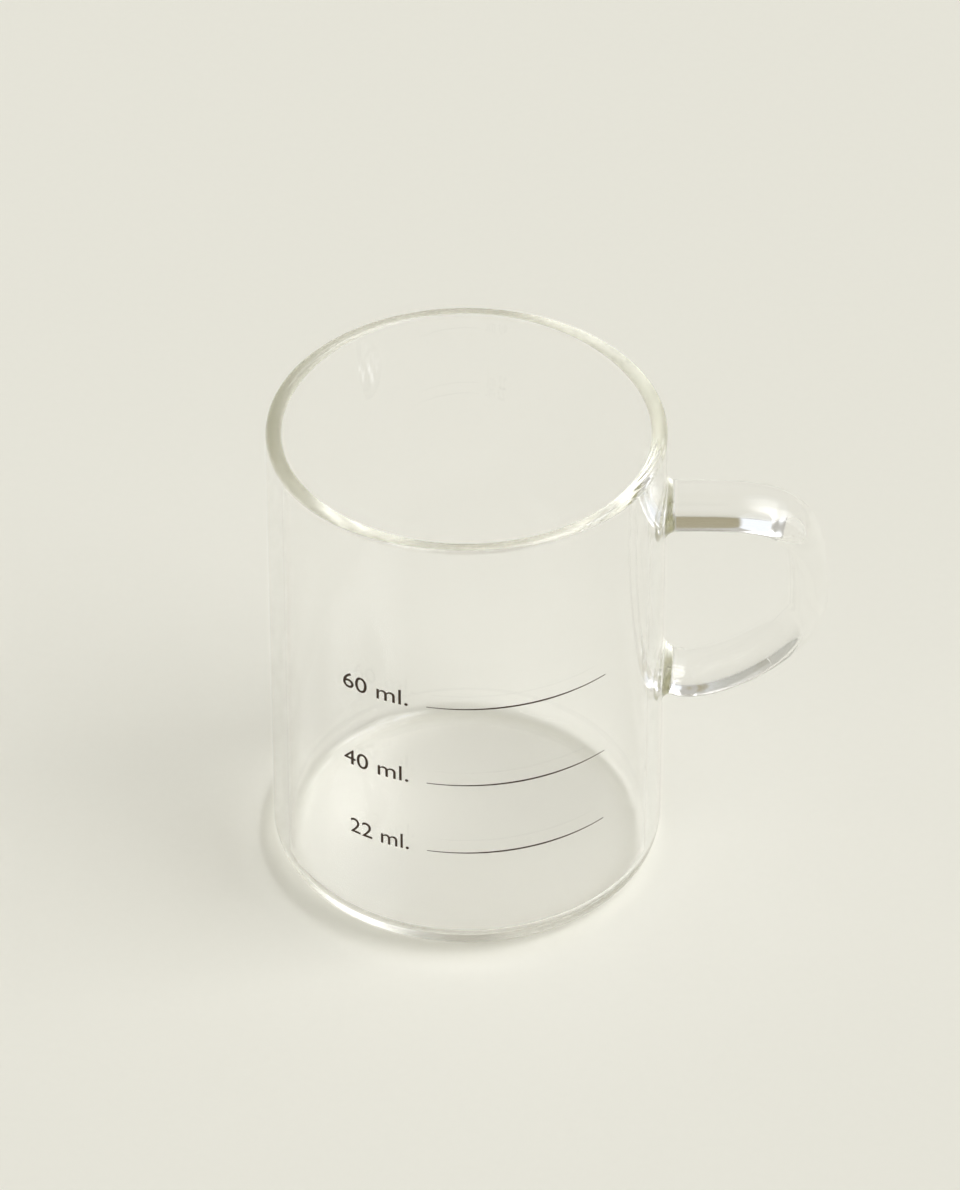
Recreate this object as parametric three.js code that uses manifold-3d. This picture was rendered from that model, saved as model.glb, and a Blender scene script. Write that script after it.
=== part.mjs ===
// A small straight-sided mug of clear borosilicate glass: a formed body with a fire-polished rim,
// an ear-shaped handle bent from an oval glass rod, the two welds that fuse it to the wall, and three
// enamel fill lines on the front. Millimetres, +Z up: the origin is the centre of the flat underside,
// and the handle points along +X.
import * as THREE from "three";
import { mergeVertices } from "three/addons/utils/BufferGeometryUtils.js";
import Module from "manifold-3d";

// Body.
const OUTER_DIAMETER = 49.6;
const HEIGHT = 65.2;
const WALL = 2;
const FLOOR = 1.8;
const HEEL_RADIUS = 3.8;
const INNER_CORNER_RADIUS = 1.8;

// Handle. The drop is measured from the rim to the upper arm's centreline, the reach from the mug's axis
// to the outside of the bend.
const ROD_DEPTH = 8.2;
const ROD_THICKNESS = 5.3;
const HANDLE_REACH = 45.3;
const UPPER_ARM_DROP = 12.6;
const WELD_SPACING = 26.1;
const LOWER_ARM_DIP_DEGREES = 18;

// Shape of the ear: where its outermost point lies between the welds, and how full each quarter is,
// along the arm and along the outside.
const CROWN_SHARE = 0.533;
const UPPER_FULLNESS = { arm: 0.84, outside: 0.95 };
const LOWER_FULLNESS = { arm: 0.26, outside: 0.56 };

// Welds: the length of the fused collar and how far it spreads on the wall.
const WELD_LENGTH = 1.5;
const WELD_FLARE = 1.2;

// Fill lines: volumes in millilitres, how far above its true levels the transfer was laid on the wall,
// and the arc that the lines cover, in degrees from the front towards the handle.
const FILL_VOLUMES = [22, 40, 60];
const TRANSFER_RISE = 1.7;
const LINE_WIDTH = 0.25;
const LINE_THICKNESS = 0.1;
const LINE_START_DEGREES = -11.5;
const LINE_END_DEGREES = 43.5;

// Clearances between pieces that touch on the real mug.
const SEAM_GAP = 0.3;
const PRINT_GAP = 0.05;

// Facets.
const BODY_SEGMENTS = 72;
const ARC_STEPS = 6;
const ROD_SIDES = 28;
const ROD_STEPS = 36;
const LINE_STEPS = 8;
const MERGE_TOLERANCE = 1e-4;

const outerRadius = OUTER_DIAMETER / 2;
const boreRadius = outerRadius - WALL;
const quarterTurn = Math.PI / 2;
const wasm = await Module();
wasm.setup();

function clearGlass() {
  return new THREE.MeshStandardMaterial({
    color: 0xeef2ee,
    roughness: 0.03,
    metalness: 0,
    transparent: true,
    opacity: 0.35,
  });
}

function darkEnamel() {
  return new THREE.MeshStandardMaterial({ color: 0x2a211c, roughness: 0.55, metalness: 0 });
}

function part(name, geometry, material) {
  const mesh = new THREE.Mesh(geometry, material);
  mesh.name = name;
  return mesh;
}

// Points of a round corner, from one angle to another.
function corner(x, y, radius, from, to) {
  const points = [];
  for (let i = 0; i <= ARC_STEPS; i++) {
    const angle = from + ((to - from) * i) / ARC_STEPS;
    points.push(new THREE.Vector2(x + radius * Math.cos(angle), y + radius * Math.sin(angle)));
  }
  return points;
}

// The body's half section, from the centre of the underside, up the outside, over the rim and down the bore.
function bodyGeometry() {
  const lip = WALL / 2;
  const section = [
    new THREE.Vector2(0, 0),
    ...corner(outerRadius - HEEL_RADIUS, HEEL_RADIUS, HEEL_RADIUS, -quarterTurn, 0),
    ...corner(outerRadius - lip, HEIGHT - lip, lip, 0, Math.PI),
    ...corner(
      boreRadius - INNER_CORNER_RADIUS,
      FLOOR + INNER_CORNER_RADIUS,
      INNER_CORNER_RADIUS,
      0,
      -quarterTurn,
    ),
    new THREE.Vector2(0, FLOOR),
  ];
  return new THREE.LatheGeometry(section, BODY_SEGMENTS).rotateX(quarterTurn);
}

// The level of a poured volume: the bore's cylinder, less what the round inner corner takes up.
function levelOf(millilitres) {
  const cornerArea = (1 - Math.PI / 4) * INNER_CORNER_RADIUS ** 2;
  const cornerCentroid = (INNER_CORNER_RADIUS * (10 - 3 * Math.PI)) / (12 - 3 * Math.PI);
  const cornerVolume = 2 * Math.PI * (boreRadius - cornerCentroid) * cornerArea;
  const volume = millilitres * 1000;
  return FLOOR + (volume + cornerVolume) / (Math.PI * boreRadius ** 2);
}

// One printed line: a thin band that follows the wall.
function lineGeometry() {
  const inner = outerRadius + PRINT_GAP;
  const start = THREE.MathUtils.degToRad(LINE_START_DEGREES) - quarterTurn;
  const end = THREE.MathUtils.degToRad(LINE_END_DEGREES) - quarterTurn;
  const band = new THREE.Shape();
  band.absarc(0, 0, inner + LINE_THICKNESS, start, end, false);
  band.absarc(0, 0, inner, end, start, true);
  return new THREE.ExtrudeGeometry(band, {
    depth: LINE_WIDTH,
    bevelEnabled: false,
    curveSegments: LINE_STEPS,
  });
}

// The handle is drawn in the XY plane, with Y along the mug's axis, and its group stands it up.
function handleLayout() {
  const upperHeight = HEIGHT - UPPER_ARM_DROP;
  const dip = THREE.MathUtils.degToRad(LOWER_ARM_DIP_DEGREES);
  const root = SEAM_GAP + WELD_LENGTH + SEAM_GAP;
  const upperOut = new THREE.Vector3(1, 0, 0);
  const lowerOut = new THREE.Vector3(Math.cos(dip), -Math.sin(dip), 0);
  const upperWall = new THREE.Vector3(outerRadius, upperHeight, 0);
  const lowerWall = new THREE.Vector3(outerRadius, upperHeight - WELD_SPACING, 0);
  return {
    upper: { out: upperOut, rodEnd: upperWall.clone().addScaledVector(upperOut, root) },
    lower: { out: lowerOut, rodEnd: lowerWall.clone().addScaledVector(lowerOut, root) },
    crown: new THREE.Vector3(
      HANDLE_REACH - ROD_THICKNESS / 2,
      upperHeight - CROWN_SHARE * WELD_SPACING,
      0,
    ),
  };
}

// Control points from an arm's end to the crown.
function quarter(arm, crown, fullness) {
  const reach = crown.x - arm.rodEnd.x;
  const rise = arm.rodEnd.y - crown.y;
  return [
    arm.rodEnd,
    arm.rodEnd.clone().addScaledVector(arm.out, fullness.arm * reach),
    crown.clone().add(new THREE.Vector3(0, fullness.outside * rise, 0)),
    crown,
  ];
}

function rodGeometry(layout) {
  const path = new THREE.CurvePath();
  const upper = quarter(layout.upper, layout.crown, UPPER_FULLNESS);
  const lower = quarter(layout.lower, layout.crown, LOWER_FULLNESS);
  path.add(new THREE.CubicBezierCurve3(...upper));
  path.add(new THREE.CubicBezierCurve3(...lower.reverse()));
  const oval = new THREE.Shape();
  oval.absellipse(0, 0, ROD_DEPTH / 2, ROD_THICKNESS / 2, 0, 2 * Math.PI, false);
  return new THREE.ExtrudeGeometry(oval, {
    steps: ROD_STEPS,
    curveSegments: ROD_SIDES / 2,
    extrudePath: path,
  });
}

function solidOf(geometry) {
  const bare = geometry.clone();
  bare.deleteAttribute("normal");
  bare.deleteAttribute("uv");
  const merged = mergeVertices(bare, MERGE_TOLERANCE);
  return new wasm.Manifold(
    new wasm.Mesh({
      numProp: 3,
      vertProperties: merged.attributes.position.array,
      triVerts: new Uint32Array(merged.index.array),
    }),
  );
}

function geometryOf(solid) {
  const mesh = solid.getMesh();
  return new THREE.BufferGeometry()
    .setAttribute("position", new THREE.BufferAttribute(mesh.vertProperties, 3))
    .setIndex(new THREE.BufferAttribute(mesh.triVerts, 1));
}

// A weld: the rod's oval, spreading in a hollow fillet towards the wall, which cuts it to the wall's round.
function weldGeometry(arm) {
  const half = ROD_THICKNESS / 2;
  const fillet = corner(half + WELD_FLARE, WELD_FLARE, WELD_FLARE, Math.PI, 3 * quarterTurn);
  const depthInWall = WALL + WELD_FLARE;
  const section = [
    new THREE.Vector2(0, -depthInWall),
    new THREE.Vector2(half + WELD_FLARE, -depthInWall),
    ...fillet.reverse(),
    new THREE.Vector2(half, WELD_LENGTH),
    new THREE.Vector2(0, WELD_LENGTH),
  ];
  const collar = new THREE.LatheGeometry(section, ROD_SIDES);
  collar.scale(1, 1, ROD_DEPTH / ROD_THICKNESS);
  const turn = Math.atan2(arm.out.y, arm.out.x) - quarterTurn;
  const foot = arm.rodEnd.clone().addScaledVector(arm.out, -SEAM_GAP - WELD_LENGTH);
  collar.rotateZ(turn).translate(foot.x, foot.y, foot.z);
  const wall = new THREE.CylinderGeometry(
    outerRadius + SEAM_GAP,
    outerRadius + SEAM_GAP,
    2 * HEIGHT,
    BODY_SEGMENTS,
  );
  return geometryOf(solidOf(collar).subtract(solidOf(wall)));
}

const mug = new THREE.Group();
mug.add(part("body", bodyGeometry(), clearGlass()));

const handle = new THREE.Group();
handle.rotation.x = quarterTurn;
const layout = handleLayout();
handle.add(part("handle_rod", rodGeometry(layout), clearGlass()));
handle.add(part("upper_weld", weldGeometry(layout.upper), clearGlass()));
handle.add(part("lower_weld", weldGeometry(layout.lower), clearGlass()));
mug.add(handle);

for (const volume of FILL_VOLUMES) {
  const line = part("fill_line_" + volume + "_ml", lineGeometry(), darkEnamel());
  line.position.z = levelOf(volume) + TRANSFER_RISE - LINE_WIDTH / 2;
  mug.add(line);
}

export default mug;
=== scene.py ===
import math

import bmesh
import bpy
from mathutils import Matrix, Vector


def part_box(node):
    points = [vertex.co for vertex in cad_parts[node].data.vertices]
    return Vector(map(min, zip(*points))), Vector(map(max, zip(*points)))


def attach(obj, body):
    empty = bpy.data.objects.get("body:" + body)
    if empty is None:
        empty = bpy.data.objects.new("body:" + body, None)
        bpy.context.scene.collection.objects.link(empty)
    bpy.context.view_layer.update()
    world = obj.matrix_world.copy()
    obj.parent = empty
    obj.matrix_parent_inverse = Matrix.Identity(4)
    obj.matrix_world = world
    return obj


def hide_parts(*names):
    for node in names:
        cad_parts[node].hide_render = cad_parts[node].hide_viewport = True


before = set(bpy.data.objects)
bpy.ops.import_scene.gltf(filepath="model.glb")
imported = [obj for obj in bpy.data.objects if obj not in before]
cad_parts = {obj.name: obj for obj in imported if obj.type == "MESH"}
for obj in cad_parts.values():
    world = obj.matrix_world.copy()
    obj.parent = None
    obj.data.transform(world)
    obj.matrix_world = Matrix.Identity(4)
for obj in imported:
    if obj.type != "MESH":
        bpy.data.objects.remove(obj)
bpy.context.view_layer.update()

# Body: a straight cup of clear borosilicate glass, formed in one piece with a flat floor, a rounded heel
# and a fire-polished rim. Where the handle is fused on, the wall's mesh is drawn together into two ovals,
# and the glass carries on through them without a surface.
MM = 0.001
RADIUS = 24.8 * MM
HEIGHT = 65.2 * MM
WALL = 2.0 * MM
FLOOR = 1.8 * MM
HEEL = 3.8 * MM
INNER_CORNER = 1.8 * MM
TURN_STEPS = 360
CORNER_STEPS = 14
# The two rounds of the rim stop just short of each other.
ROUND_SHARE = 0.9999
# An extra edge this far from a round keeps the straight part beside it straight.
SUPPORT = 0.25 * MM
# Points closer than SAME_PLACE are one. Corners flatter than FLAT_ANGLE are dissolved, and edges sharper
# than SHARP_ANGLE are not smoothed over.
SAME_PLACE = 1e-6
FLAT_ANGLE = 0.01
SHARP_ANGLE = math.radians(50)
# The handle's arms at the wall. Their depth is half the rod's depth, and HALF_ROD half its thickness.
UPPER_ARM = {"height": 52.6 * MM, "dip": 0.0, "depth": 4.1 * MM}
LOWER_ARM = {"height": 26.5 * MM, "dip": math.radians(18), "depth": 3.7 * MM}
HALF_ROD = 2.65 * MM
FLARE = 1.2 * MM
# The wall's grid, counted in rows from the lower arm and in columns from the handle's plane. A weld's foot
# takes FOOT_ROWS and FOOT_COLUMNS on each side, and the grid is drawn towards it up to GATHER_REACH times
# as far out. GRID_SLACK is what rounding may take from a count.
ROWS_BETWEEN_ARMS = 48
LOWEST_ROW = -40
HIGHEST_ROW = 68
ROW = (UPPER_ARM["height"] - LOWER_ARM["height"]) / ROWS_BETWEEN_ARMS
COLUMN = 2 * math.pi / TURN_STEPS
FOOT_COLUMNS = 14
FOOT_ROWS = 8
GATHER_REACH = 2
GRID_SLACK = 1e-3


def linear(code):
    """An sRGB hex colour as linear red, green, blue and alpha."""
    parts = [int(code[i:i + 2], 16) / 255 for i in (1, 3, 5)]
    return [c / 12.92 if c <= 0.04045 else ((c + 0.055) / 1.055) ** 2.4 for c in parts] + [1.0]


def add(tree, kind, inputs=None, **settings):
    """A new node. Each input is a value, or a socket to link from."""
    made = tree.nodes.new(kind)
    for name, value in settings.items():
        setattr(made, name, value)
    for name, value in (inputs or {}).items():
        if isinstance(value, bpy.types.NodeSocket):
            tree.links.new(value, made.inputs[name])
        else:
            made.inputs[name].default_value = value
    return made


def new_material(name):
    """An empty node material, its tree and its output."""
    material = bpy.data.materials.new(name)
    material.use_nodes = True
    material.node_tree.nodes.clear()
    return material, material.node_tree, add(material.node_tree, "ShaderNodeOutputMaterial")


def make_object(name, bm, materials):
    """A smooth mesh object from bm, with its normals pointing outwards."""
    bm.normal_update()
    bmesh.ops.recalc_face_normals(bm, faces=bm.faces)
    for face in bm.faces:
        face.smooth = True
    for edge in bm.edges:
        if edge.calc_face_angle(0) > SHARP_ANGLE:
            edge.smooth = False
    mesh = bpy.data.meshes.new(name)
    bm.to_mesh(mesh)
    bm.free()
    for material in materials:
        mesh.materials.append(material)
    made = bpy.data.objects.new(name, mesh)
    bpy.context.scene.collection.objects.link(made)
    return made


def cut(bm, parts, place, normal):
    """Divides the given parts of bm along a plane."""
    bmesh.ops.bisect_plane(bm, geom=parts, plane_co=place, plane_no=normal)


def oval_angle(column, row, level):
    """The angle on a weld's oval for a point of the wall's grid, going round its square ring."""
    wide = level * FOOT_COLUMNS
    high = level * FOOT_ROWS
    if column > wide - GRID_SLACK:
        way = row
    elif row > high - GRID_SLACK:
        way = high + wide - column
    elif column < GRID_SLACK - wide:
        way = 2 * high + 2 * wide - row
    else:
        way = 3 * high + 3 * wide + column
    return way / (wide + high) * math.pi / 2


def along_arm(arm, side, lift, out):
    """A point beside an arm's centreline: side along Y, lift across the arm, out from the wall along it."""
    across = math.sqrt(RADIUS ** 2 - side ** 2)
    to_wall = (across - RADIUS - lift * math.sin(arm["dip"])) / math.cos(arm["dip"])
    return Vector((
        RADIUS + lift * math.sin(arm["dip"]) + (to_wall + out) * math.cos(arm["dip"]),
        side,
        arm["height"] + lift * math.cos(arm["dip"]) - (to_wall + out) * math.sin(arm["dip"]),
    ))


def gather_wall(bm, arm):
    """Draws the wall's grid around an arm into the oval of its weld. Returns the points in the oval."""
    inside = set()
    for vert in bm.verts:
        if abs(math.hypot(vert.co.x, vert.co.y) - RADIUS) > SAME_PLACE:
            continue
        turn = math.atan2(vert.co.y, vert.co.x)
        column = turn / COLUMN
        row = (vert.co.z - arm["height"]) / ROW
        level = max(abs(column) / FOOT_COLUMNS, abs(row) / FOOT_ROWS)
        if level > GATHER_REACH:
            continue
        if level < 1 + GRID_SLACK:
            inside.add(vert)
        if level < GRID_SLACK:
            continue
        angle = oval_angle(column, row, level)
        side = level * arm["depth"] * (1 + FLARE / HALF_ROD) * math.cos(angle)
        goal = along_arm(arm, side, level * (HALF_ROD + FLARE) * math.sin(angle), 0)
        pull = min(1, GATHER_REACH - level)
        new_turn = turn + pull * (math.atan2(goal.y, goal.x) - turn)
        vert.co = (
            RADIUS * math.cos(new_turn),
            RADIUS * math.sin(new_turn),
            vert.co.z + pull * (goal.z - vert.co.z),
        )
    return inside


# Borosilicate glass: melted clear and smoothed in the flame, so the eye sees only what it bends and mirrors.
# Its skin waves very slightly, drawn out along the height, and light that comes a long way through it, as in
# the rim and the welds, takes on a trace of olive. After TINT_LENGTH it has the full tint.
GLASS_IOR = 1.473
TINT_LENGTH = 385 * MM
WAVE_WIDTH = 9.09 * MM
WAVE_STRETCH = 4
WAVE_DEPTH = 1.0 * MM
WAVE_STRENGTH = 0.005
# A colour mix has its sockets by number, because those for numbers and vectors have the same names.
MIX_FROM = 6
MIX_TO = 7
MIX_RESULT = 2

glass, tree, output = new_material("borosilicate_glass")
position = add(tree, "ShaderNodeTexCoord")
stretched = add(tree, "ShaderNodeMapping", {
    "Vector": position.outputs["Object"],
    "Scale": (1, 1, 1 / WAVE_STRETCH),
})
waves = add(tree, "ShaderNodeTexNoise", {
    "Vector": stretched.outputs["Vector"],
    "Scale": 1 / WAVE_WIDTH,
    "Detail": 1,
})
uneven = add(tree, "ShaderNodeBump", {
    "Height": waves.outputs["Fac"],
    "Strength": WAVE_STRENGTH,
    "Distance": WAVE_DEPTH,
})
travel = add(tree, "ShaderNodeLightPath")
tinted = add(tree, "ShaderNodeMath", {
    0: travel.outputs["Ray Length"],
    1: 1 / TINT_LENGTH,
}, operation="MULTIPLY")
# Only light that meets the skin from behind has come through the glass.
skin = add(tree, "ShaderNodeNewGeometry")
within = add(tree, "ShaderNodeMath", {
    0: tinted.outputs["Value"],
    1: skin.outputs["Backfacing"],
}, operation="MULTIPLY", use_clamp=True)
tint = add(tree, "ShaderNodeMix", {
    "Factor": within.outputs["Value"],
    MIX_FROM: linear("#ffffff"),
    MIX_TO: linear("#ecebd0"),
}, data_type="RGBA")
clear = add(tree, "ShaderNodeBsdfGlass", {
    "Color": tint.outputs[MIX_RESULT],
    "Roughness": 0.0,
    "IOR": GLASS_IOR,
    "Normal": uneven.outputs["Normal"],
})
tree.links.new(clear.outputs["BSDF"], output.inputs["Surface"])

# Fused glass: the joint inside a weld, where two pieces have run together and nothing shows.
fused, tree, output = new_material("fused_glass_joint")
joint = add(tree, "ShaderNodeBsdfTransparent", {"Color": linear("#ffffff")})
tree.links.new(joint.outputs["BSDF"], output.inputs["Surface"])

# The half section is a rectangle with the hollow cut away and its corners rounded, spun about the axis.
bm = bmesh.new()
bmesh.ops.create_grid(bm, x_segments=1, y_segments=1, size=0.5)
bmesh.ops.translate(bm, verts=bm.verts, vec=(0.5, 0.5, 0))
bmesh.ops.scale(bm, verts=bm.verts, vec=(RADIUS, HEIGHT, 1))
bmesh.ops.rotate(bm, verts=bm.verts, matrix=Matrix.Rotation(math.pi / 2, 3, "X"))
cut(bm, bm.verts[:] + bm.edges[:] + bm.faces[:], (RADIUS - WALL, 0, 0), (1, 0, 0))
cut(bm, bm.verts[:] + bm.edges[:] + bm.faces[:], (0, 0, FLOOR), (0, 0, 1))
hollow = []
for face in bm.faces:
    middle = face.calc_center_median()
    if middle.x < RADIUS - WALL and middle.z > FLOOR:
        hollow.append(face)
bmesh.ops.delete(bm, geom=hollow, context="FACES")
bmesh.ops.dissolve_faces(bm, faces=bm.faces[:])
bmesh.ops.dissolve_limit(bm, angle_limit=FLAT_ANGLE, verts=bm.verts[:], edges=bm.edges[:])
for x, z, radius in (
    (RADIUS, 0, HEEL),
    (RADIUS, HEIGHT, WALL / 2),
    (RADIUS - WALL, HEIGHT, WALL / 2),
    (RADIUS - WALL, FLOOR, INNER_CORNER),
):
    corner = min(bm.verts, key=lambda vert: (vert.co - Vector((x, 0, z))).length)
    bmesh.ops.bevel(bm, geom=[corner], offset=radius * ROUND_SHARE, segments=CORNER_STEPS, profile=0.5,
                    affect="VERTICES", material=-1)
bmesh.ops.delete(bm, geom=bm.faces[:], context="FACES_ONLY")
on_axis = [edge for edge in bm.edges if max(vert.co.x for vert in edge.verts) < SAME_PLACE]
bmesh.ops.delete(bm, geom=on_axis, context="EDGES")
cut(bm, bm.verts[:] + bm.edges[:], (0, 0, HEEL + SUPPORT), (0, 0, 1))
cut(bm, bm.verts[:] + bm.edges[:], (0, 0, HEIGHT - WALL / 2 - SUPPORT), (0, 0, 1))
cut(bm, bm.verts[:] + bm.edges[:], (RADIUS - HEEL - SUPPORT, 0, 0), (1, 0, 0))
for row in range(LOWEST_ROW, HIGHEST_ROW + 1):
    outside = [edge for edge in bm.edges if min(vert.co.x for vert in edge.verts) > RADIUS - SAME_PLACE]
    ends = list({vert for edge in outside for vert in edge.verts})
    cut(bm, ends + outside, (0, 0, LOWER_ARM["height"] + row * ROW), (0, 0, 1))
bmesh.ops.spin(bm, geom=bm.verts[:] + bm.edges[:], cent=(0, 0, 0), axis=(0, 0, 1), angle=2 * math.pi,
               steps=TURN_STEPS, use_merge=True)
bmesh.ops.remove_doubles(bm, verts=bm.verts, dist=SAME_PLACE)
for arm in (UPPER_ARM, LOWER_ARM):
    inside = gather_wall(bm, arm)
    for face in bm.faces:
        if all(vert in inside for vert in face.verts):
            face.material_index = 1
body = make_object("glass_body", bm, [glass, fused])
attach(body, "root")
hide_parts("body")

# Welds: the glass that ran together where the rod was pressed on the hot wall. Each spreads in a hollow
# fillet from the rod's oval to a larger oval on the wall.
WELD_LENGTH = 2.1 * MM
WELD_STEPS = 16
RING = 4 * (FOOT_COLUMNS + FOOT_ROWS)
# The share of the steps that the fillet takes. The rest of the weld is straight.
FILLET_SHARE = 0.75


def sleeve(steps):
    """A closed tube of radius 1 along Z from 0 to 1, ready to be shaped. Its ends are joints."""
    made = bmesh.new()
    bmesh.ops.create_cone(made, cap_ends=True, segments=RING, radius1=1, radius2=1, depth=1,
                          matrix=Matrix.Translation((0, 0, 0.5)))
    upright = [edge for edge in made.edges if abs(edge.verts[0].co.z - edge.verts[1].co.z) > 0.5]
    bmesh.ops.subdivide_edges(made, edges=upright, cuts=steps - 1, use_grid_fill=True)
    for face in made.faces:
        face.material_index = int(len(face.verts) > 4)
    return made


for name, arm in (("upper_weld", UPPER_ARM), ("lower_weld", LOWER_ARM)):
    bm = sleeve(WELD_STEPS)
    for vert in bm.verts:
        angle = math.atan2(vert.co.y, vert.co.x)
        bend = min(vert.co.z / FILLET_SHARE, 1) * math.pi / 2
        straight = max(vert.co.z - FILLET_SHARE, 0) / (1 - FILLET_SHARE)
        spread = FLARE * (1 - math.sin(bend))
        out = FLARE * (1 - math.cos(bend)) + (WELD_LENGTH - FLARE) * straight
        side = arm["depth"] * (1 + spread / HALF_ROD) * math.cos(angle)
        lift = (HALF_ROD + spread) * math.sin(angle)
        on_wall = along_arm(arm, side, lift, out)
        on_rod = Vector((
            RADIUS + lift * math.sin(arm["dip"]) + out * math.cos(arm["dip"]),
            side,
            arm["height"] + lift * math.cos(arm["dip"]) - out * math.sin(arm["dip"]),
        ))
        vert.co = on_wall.lerp(on_rod, out / WELD_LENGTH)
    weld = make_object("glass_" + name, bm, [glass, fused])
    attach(weld, "root")
    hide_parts(name)

# Handle: one oval glass rod, bent hot into an ear. The upper arm leaves the wall level, turns tightly at the
# top, and swings back in a slack curve to the lower weld. The points of its two bends are in millimetres.
ROD_STEPS = 120
UPPER_BEND = [
    Vector((26.9, 0, 52.6)),
    Vector((40.13, 0, 52.6)),
    Vector((42.65, 0, 51.904)),
    Vector((42.65, 0, 38.689)),
]
LOWER_BEND = [
    Vector((42.65, 0, 38.689)),
    Vector((42.65, 0, 31.5)),
    Vector((30.717, 0, 24.577)),
    Vector((26.797, 0, 25.851)),
]


def on_bend(points, share):
    """Place and direction on a cubic bend."""
    start, leaving, arriving, end = points
    rest = 1 - share
    spot = start * rest ** 3 + leaving * (3 * rest ** 2 * share)
    spot += arriving * (3 * rest * share ** 2) + end * share ** 3
    way = (leaving - start) * rest ** 2 + (arriving - leaving) * (2 * rest * share)
    way += (end - arriving) * share ** 2
    return spot * MM, way.normalized()


bm = sleeve(ROD_STEPS)
for vert in bm.verts:
    angle = math.atan2(vert.co.y, vert.co.x)
    if vert.co.z < 0.5:
        spot, way = on_bend(UPPER_BEND, 2 * vert.co.z)
    else:
        spot, way = on_bend(LOWER_BEND, 2 * vert.co.z - 1)
    across = Vector((-way.z, 0, way.x))
    depth = UPPER_ARM["depth"] + (LOWER_ARM["depth"] - UPPER_ARM["depth"]) * vert.co.z
    vert.co = spot + across * (HALF_ROD * math.sin(angle)) + Vector((0, depth * math.cos(angle), 0))
rod = make_object("glass_handle_rod", bm, [glass, fused])
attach(rod, "root")
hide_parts("handle_rod")

# Fill lines: three thin lines of dark enamel, laid on the front as a transfer and fired. Each thins out
# towards both ends, over LINE_TAPER of its length and down to LINE_TIP of its width.
PRINT_STANDOFF = 0.03 * MM
PRINT_THICKNESS = 0.05 * MM
LINE_WIDTH = 0.2 * MM
LINE_START = math.radians(-11.5)
LINE_END = math.radians(43.5)
LINE_TAPER = 0.38
LINE_TIP = 0.3
LINE_STEPS = 64

# Fired enamel: a screened paste, burnt in dark brown and satin, and slightly uneven in tone and gloss. Its
# real grain of about 0.1 mm is too fine to show, so it is drawn four times as coarse.
ENAMEL_GRAIN = 0.4 * MM
enamel, tree, output = new_material("fired_enamel")
position = add(tree, "ShaderNodeTexCoord")
grain = add(tree, "ShaderNodeTexNoise", {
    "Vector": position.outputs["Object"],
    "Scale": 1 / ENAMEL_GRAIN,
    "Detail": 2,
})
shade = add(tree, "ShaderNodeMix", {
    "Factor": grain.outputs["Fac"],
    MIX_FROM: linear("#2d1c0f"),
    MIX_TO: linear("#48321e"),
}, data_type="RGBA")
gloss = add(tree, "ShaderNodeMapRange", {
    "Value": grain.outputs["Fac"],
    "To Min": 0.4,
    "To Max": 0.6,
})
ink = add(tree, "ShaderNodeBsdfPrincipled", {
    "Base Color": shade.outputs[MIX_RESULT],
    "Roughness": gloss.outputs["Result"],
    "Specular IOR Level": 0.3,
})
tree.links.new(ink.outputs["BSDF"], output.inputs["Surface"])

line_heights = {}
for volume in (22, 40, 60):
    node = "fill_line_%d_ml" % volume
    low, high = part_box(node)
    middle = (low[2] + high[2]) / 2
    line_heights[volume] = middle
    bm = bmesh.new()
    bmesh.ops.create_cube(bm, size=1, matrix=Matrix.Translation((0.5, 0.5, 0)))
    lengthwise = [edge for edge in bm.edges if abs(edge.verts[0].co.x - edge.verts[1].co.x) > 0.5]
    bmesh.ops.subdivide_edges(bm, edges=lengthwise, cuts=LINE_STEPS - 1, use_grid_fill=True)
    for vert in bm.verts:
        share, out, width = vert.co
        thin = min(1, LINE_TIP + (1 - LINE_TIP) * min(share, 1 - share) / LINE_TAPER)
        turn = LINE_START + (LINE_END - LINE_START) * share
        reach = RADIUS + PRINT_STANDOFF + PRINT_THICKNESS * out
        vert.co = (reach * math.sin(turn), -reach * math.cos(turn), middle + LINE_WIDTH * thin * width)
    line = make_object("enamel_line_%d_ml" % volume, bm, [enamel])
    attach(line, "root")
    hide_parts(node)

# Figures: the volume beside each line, in the same enamel and from the same transfer. They stand a little
# lower than the line and end shortly before its start.
FIGURE_HEIGHT = 2.3 * MM
FIGURE_WIDTHS = {22: 8.15 * MM, 40: 9.0 * MM, 60: 9.0 * MM}
FIGURE_END = math.radians(-16.9)
FIGURE_DROP = 0.3 * MM
LETTER_HALF_DEPTH = 0.5
LETTER_SAME_PLACE = 1e-4

for volume, width in FIGURE_WIDTHS.items():
    curve = bpy.data.curves.new("figures", "FONT")
    curve.body = "%d ml." % volume
    curve.extrude = LETTER_HALF_DEPTH
    flat = bpy.data.objects.new("figures", curve)
    bpy.context.scene.collection.objects.link(flat)
    letters = bpy.data.meshes.new_from_object(flat.evaluated_get(bpy.context.evaluated_depsgraph_get()))
    bpy.data.objects.remove(flat)
    bpy.data.curves.remove(curve)
    bm = bmesh.new()
    bm.from_mesh(letters)
    bpy.data.meshes.remove(letters)
    bmesh.ops.remove_doubles(bm, verts=bm.verts, dist=LETTER_SAME_PLACE)
    left = min(vert.co.x for vert in bm.verts)
    right = max(vert.co.x for vert in bm.verts)
    top = max(vert.co.y for vert in bm.verts)
    for vert in bm.verts:
        turn = FIGURE_END - (right - vert.co.x) / (right - left) * width / RADIUS
        lift = line_heights[volume] - FIGURE_DROP + vert.co.y / top * FIGURE_HEIGHT
        reach = RADIUS + PRINT_STANDOFF + PRINT_THICKNESS * (vert.co.z + LETTER_HALF_DEPTH)
        vert.co = (reach * math.sin(turn), -reach * math.cos(turn), lift)
    figures = make_object("enamel_figures_%d_ml" % volume, bm, [enamel])
    for polygon in figures.data.polygons:
        polygon.use_smooth = False
    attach(figures, "root")

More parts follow.
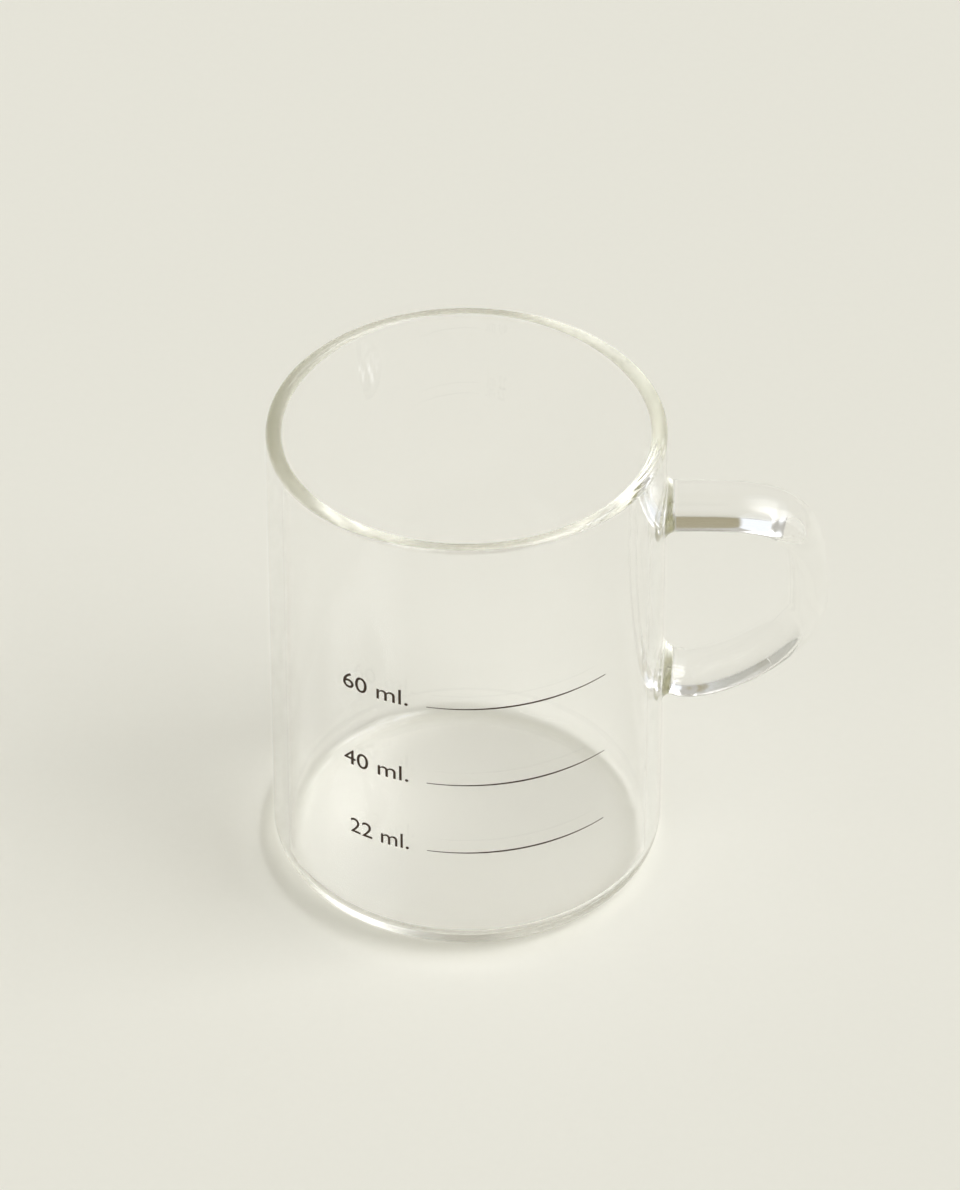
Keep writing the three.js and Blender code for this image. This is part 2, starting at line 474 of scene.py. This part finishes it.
# Table: a wide sheet of matt cream paper, laid flat. It lies a hair below the glass, so that the two faces
# never fall together.
TABLE_SIZE = 4.0
TABLE_CELLS = 8
TABLE_DROP = 0.05 * MM

# Cream paper: pressed from pulp and left uncoated, so it is quite matt, with faint clouds of fibre.
FIBRE_CLOUD = 1.11 * MM
paper, tree, output = new_material("cream_paper")
position = add(tree, "ShaderNodeTexCoord")
fibres = add(tree, "ShaderNodeTexNoise", {
    "Vector": position.outputs["Object"],
    "Scale": 1 / FIBRE_CLOUD,
    "Detail": 3,
})
cream = add(tree, "ShaderNodeMix", {
    "Factor": fibres.outputs["Fac"],
    MIX_FROM: linear("#e9e8e0"),
    MIX_TO: linear("#ebeae2"),
}, data_type="RGBA")
sheet = add(tree, "ShaderNodeBsdfPrincipled", {
    "Base Color": cream.outputs[MIX_RESULT],
    "Roughness": 1.0,
    "Specular IOR Level": 0.0,
})
tree.links.new(sheet.outputs["BSDF"], output.inputs["Surface"])

bm = bmesh.new()
bmesh.ops.create_grid(bm, x_segments=TABLE_CELLS, y_segments=TABLE_CELLS, size=TABLE_SIZE / 2)
bmesh.ops.translate(bm, verts=bm.verts, vec=(0, 0, -TABLE_DROP))
table = make_object("paper_table", bm, [paper])

# Light: an even, warm and soft room, dimmer at the left, with a large panel high at the right and a smaller
# one below it. A pale window and a brown wall behind the mug, and a dark spot overhead, do little for the
# table, but the handle shows them.
ROOM_LIGHT = 0.80
EXPOSURE = 0.645
# Each patch has a colour, a brightness, a direction, and two angles in degrees: it is full up to the first
# and gone beyond the second.
DIM_SIDE = ("#fffceb", 0.66, (-0.85, 0.2, 0.48), 20, 60)
HIGH_PANEL = ("#ffffff", 7.6, (0.62, -0.15, 0.77), 10, 30)
LOW_PANEL = ("#fafdff", 2.3, (0.9, -0.15, 0.35), 10, 22)
WINDOW = ("#f7fbff", 1.66, (0.45, 0.40, 0.80), 16.5, 18)
BROWN_WALL = ("#fff3cb", 0.58, (0.0, 0.44, 0.90), 9, 12)
DARK_SPOT = ("#fff3d5", 0.30, (0.0, -0.05, 1.0), 5, 8)

scene = bpy.context.scene
world = bpy.data.worlds.new("studio")
scene.world = world
world.use_nodes = True
tree = world.node_tree
tree.nodes.clear()
output = add(tree, "ShaderNodeOutputWorld")
position = add(tree, "ShaderNodeTexCoord")
room = [ROOM_LIGHT * part for part in linear("#fffcf3")]
for code, brightness, direction, full, gone in (
    DIM_SIDE, HIGH_PANEL, LOW_PANEL, WINDOW, BROWN_WALL, DARK_SPOT,
):
    towards = add(tree, "ShaderNodeVectorMath", {
        0: position.outputs["Generated"],
        1: Vector(direction).normalized(),
    }, operation="DOT_PRODUCT")
    patch = add(tree, "ShaderNodeMapRange", {
        "Value": towards.outputs["Value"],
        "From Min": math.cos(math.radians(gone)),
        "From Max": math.cos(math.radians(full)),
    }, interpolation_type="SMOOTHSTEP")
    room = add(tree, "ShaderNodeMix", {
        "Factor": patch.outputs["Result"],
        MIX_FROM: room,
        MIX_TO: [brightness * part for part in linear(code)],
    }, data_type="RGBA").outputs[MIX_RESULT]
glow = add(tree, "ShaderNodeBackground", {"Color": room, "Strength": EXPOSURE})
tree.links.new(glow.outputs["Background"], output.inputs["Surface"])

# Camera: a long lens in front of the mug, 39 degrees above the table. Its focal length and the height of the
# picture are in pixels, the sensor's height in millimetres.
CAMERA_PITCH = 0.67953
CAMERA_DISTANCE = 918.84 * MM
CAMERA_TARGET = Vector((1.648, 0, 38.30)) * MM
FOCAL_LENGTH = 7324.04
PICTURE_HEIGHT = 1190
SENSOR_HEIGHT = 36
# Light runs down the wall from the rim, and round in the welds, in a great many turns.
GLASS_BOUNCES = 256
JOINT_BOUNCES = 96
BRIGHTEST_SAMPLE = 20

camera = bpy.data.cameras.new("photo_view")
camera.sensor_fit = "VERTICAL"
camera.sensor_height = SENSOR_HEIGHT
camera.lens = FOCAL_LENGTH * SENSOR_HEIGHT / PICTURE_HEIGHT
camera_object = bpy.data.objects.new("photo_view", camera)
forward = Vector((0, math.cos(CAMERA_PITCH), -math.sin(CAMERA_PITCH)))
camera_object.location = CAMERA_TARGET - forward * CAMERA_DISTANCE
camera_object.rotation_euler = (math.pi / 2 - CAMERA_PITCH, 0, 0)
scene.collection.objects.link(camera_object)
scene.camera = camera_object
scene.view_settings.view_transform = "Standard"
scene.cycles.max_bounces = GLASS_BOUNCES
scene.cycles.transmission_bounces = GLASS_BOUNCES
scene.cycles.glossy_bounces = GLASS_BOUNCES
scene.cycles.transparent_max_bounces = JOINT_BOUNCES
scene.cycles.caustics_refractive = True
scene.cycles.caustics_reflective = True
scene.cycles.use_denoising = True
scene.cycles.sample_clamp_indirect = BRIGHTEST_SAMPLE
scene.cycles.blur_glossy = 0
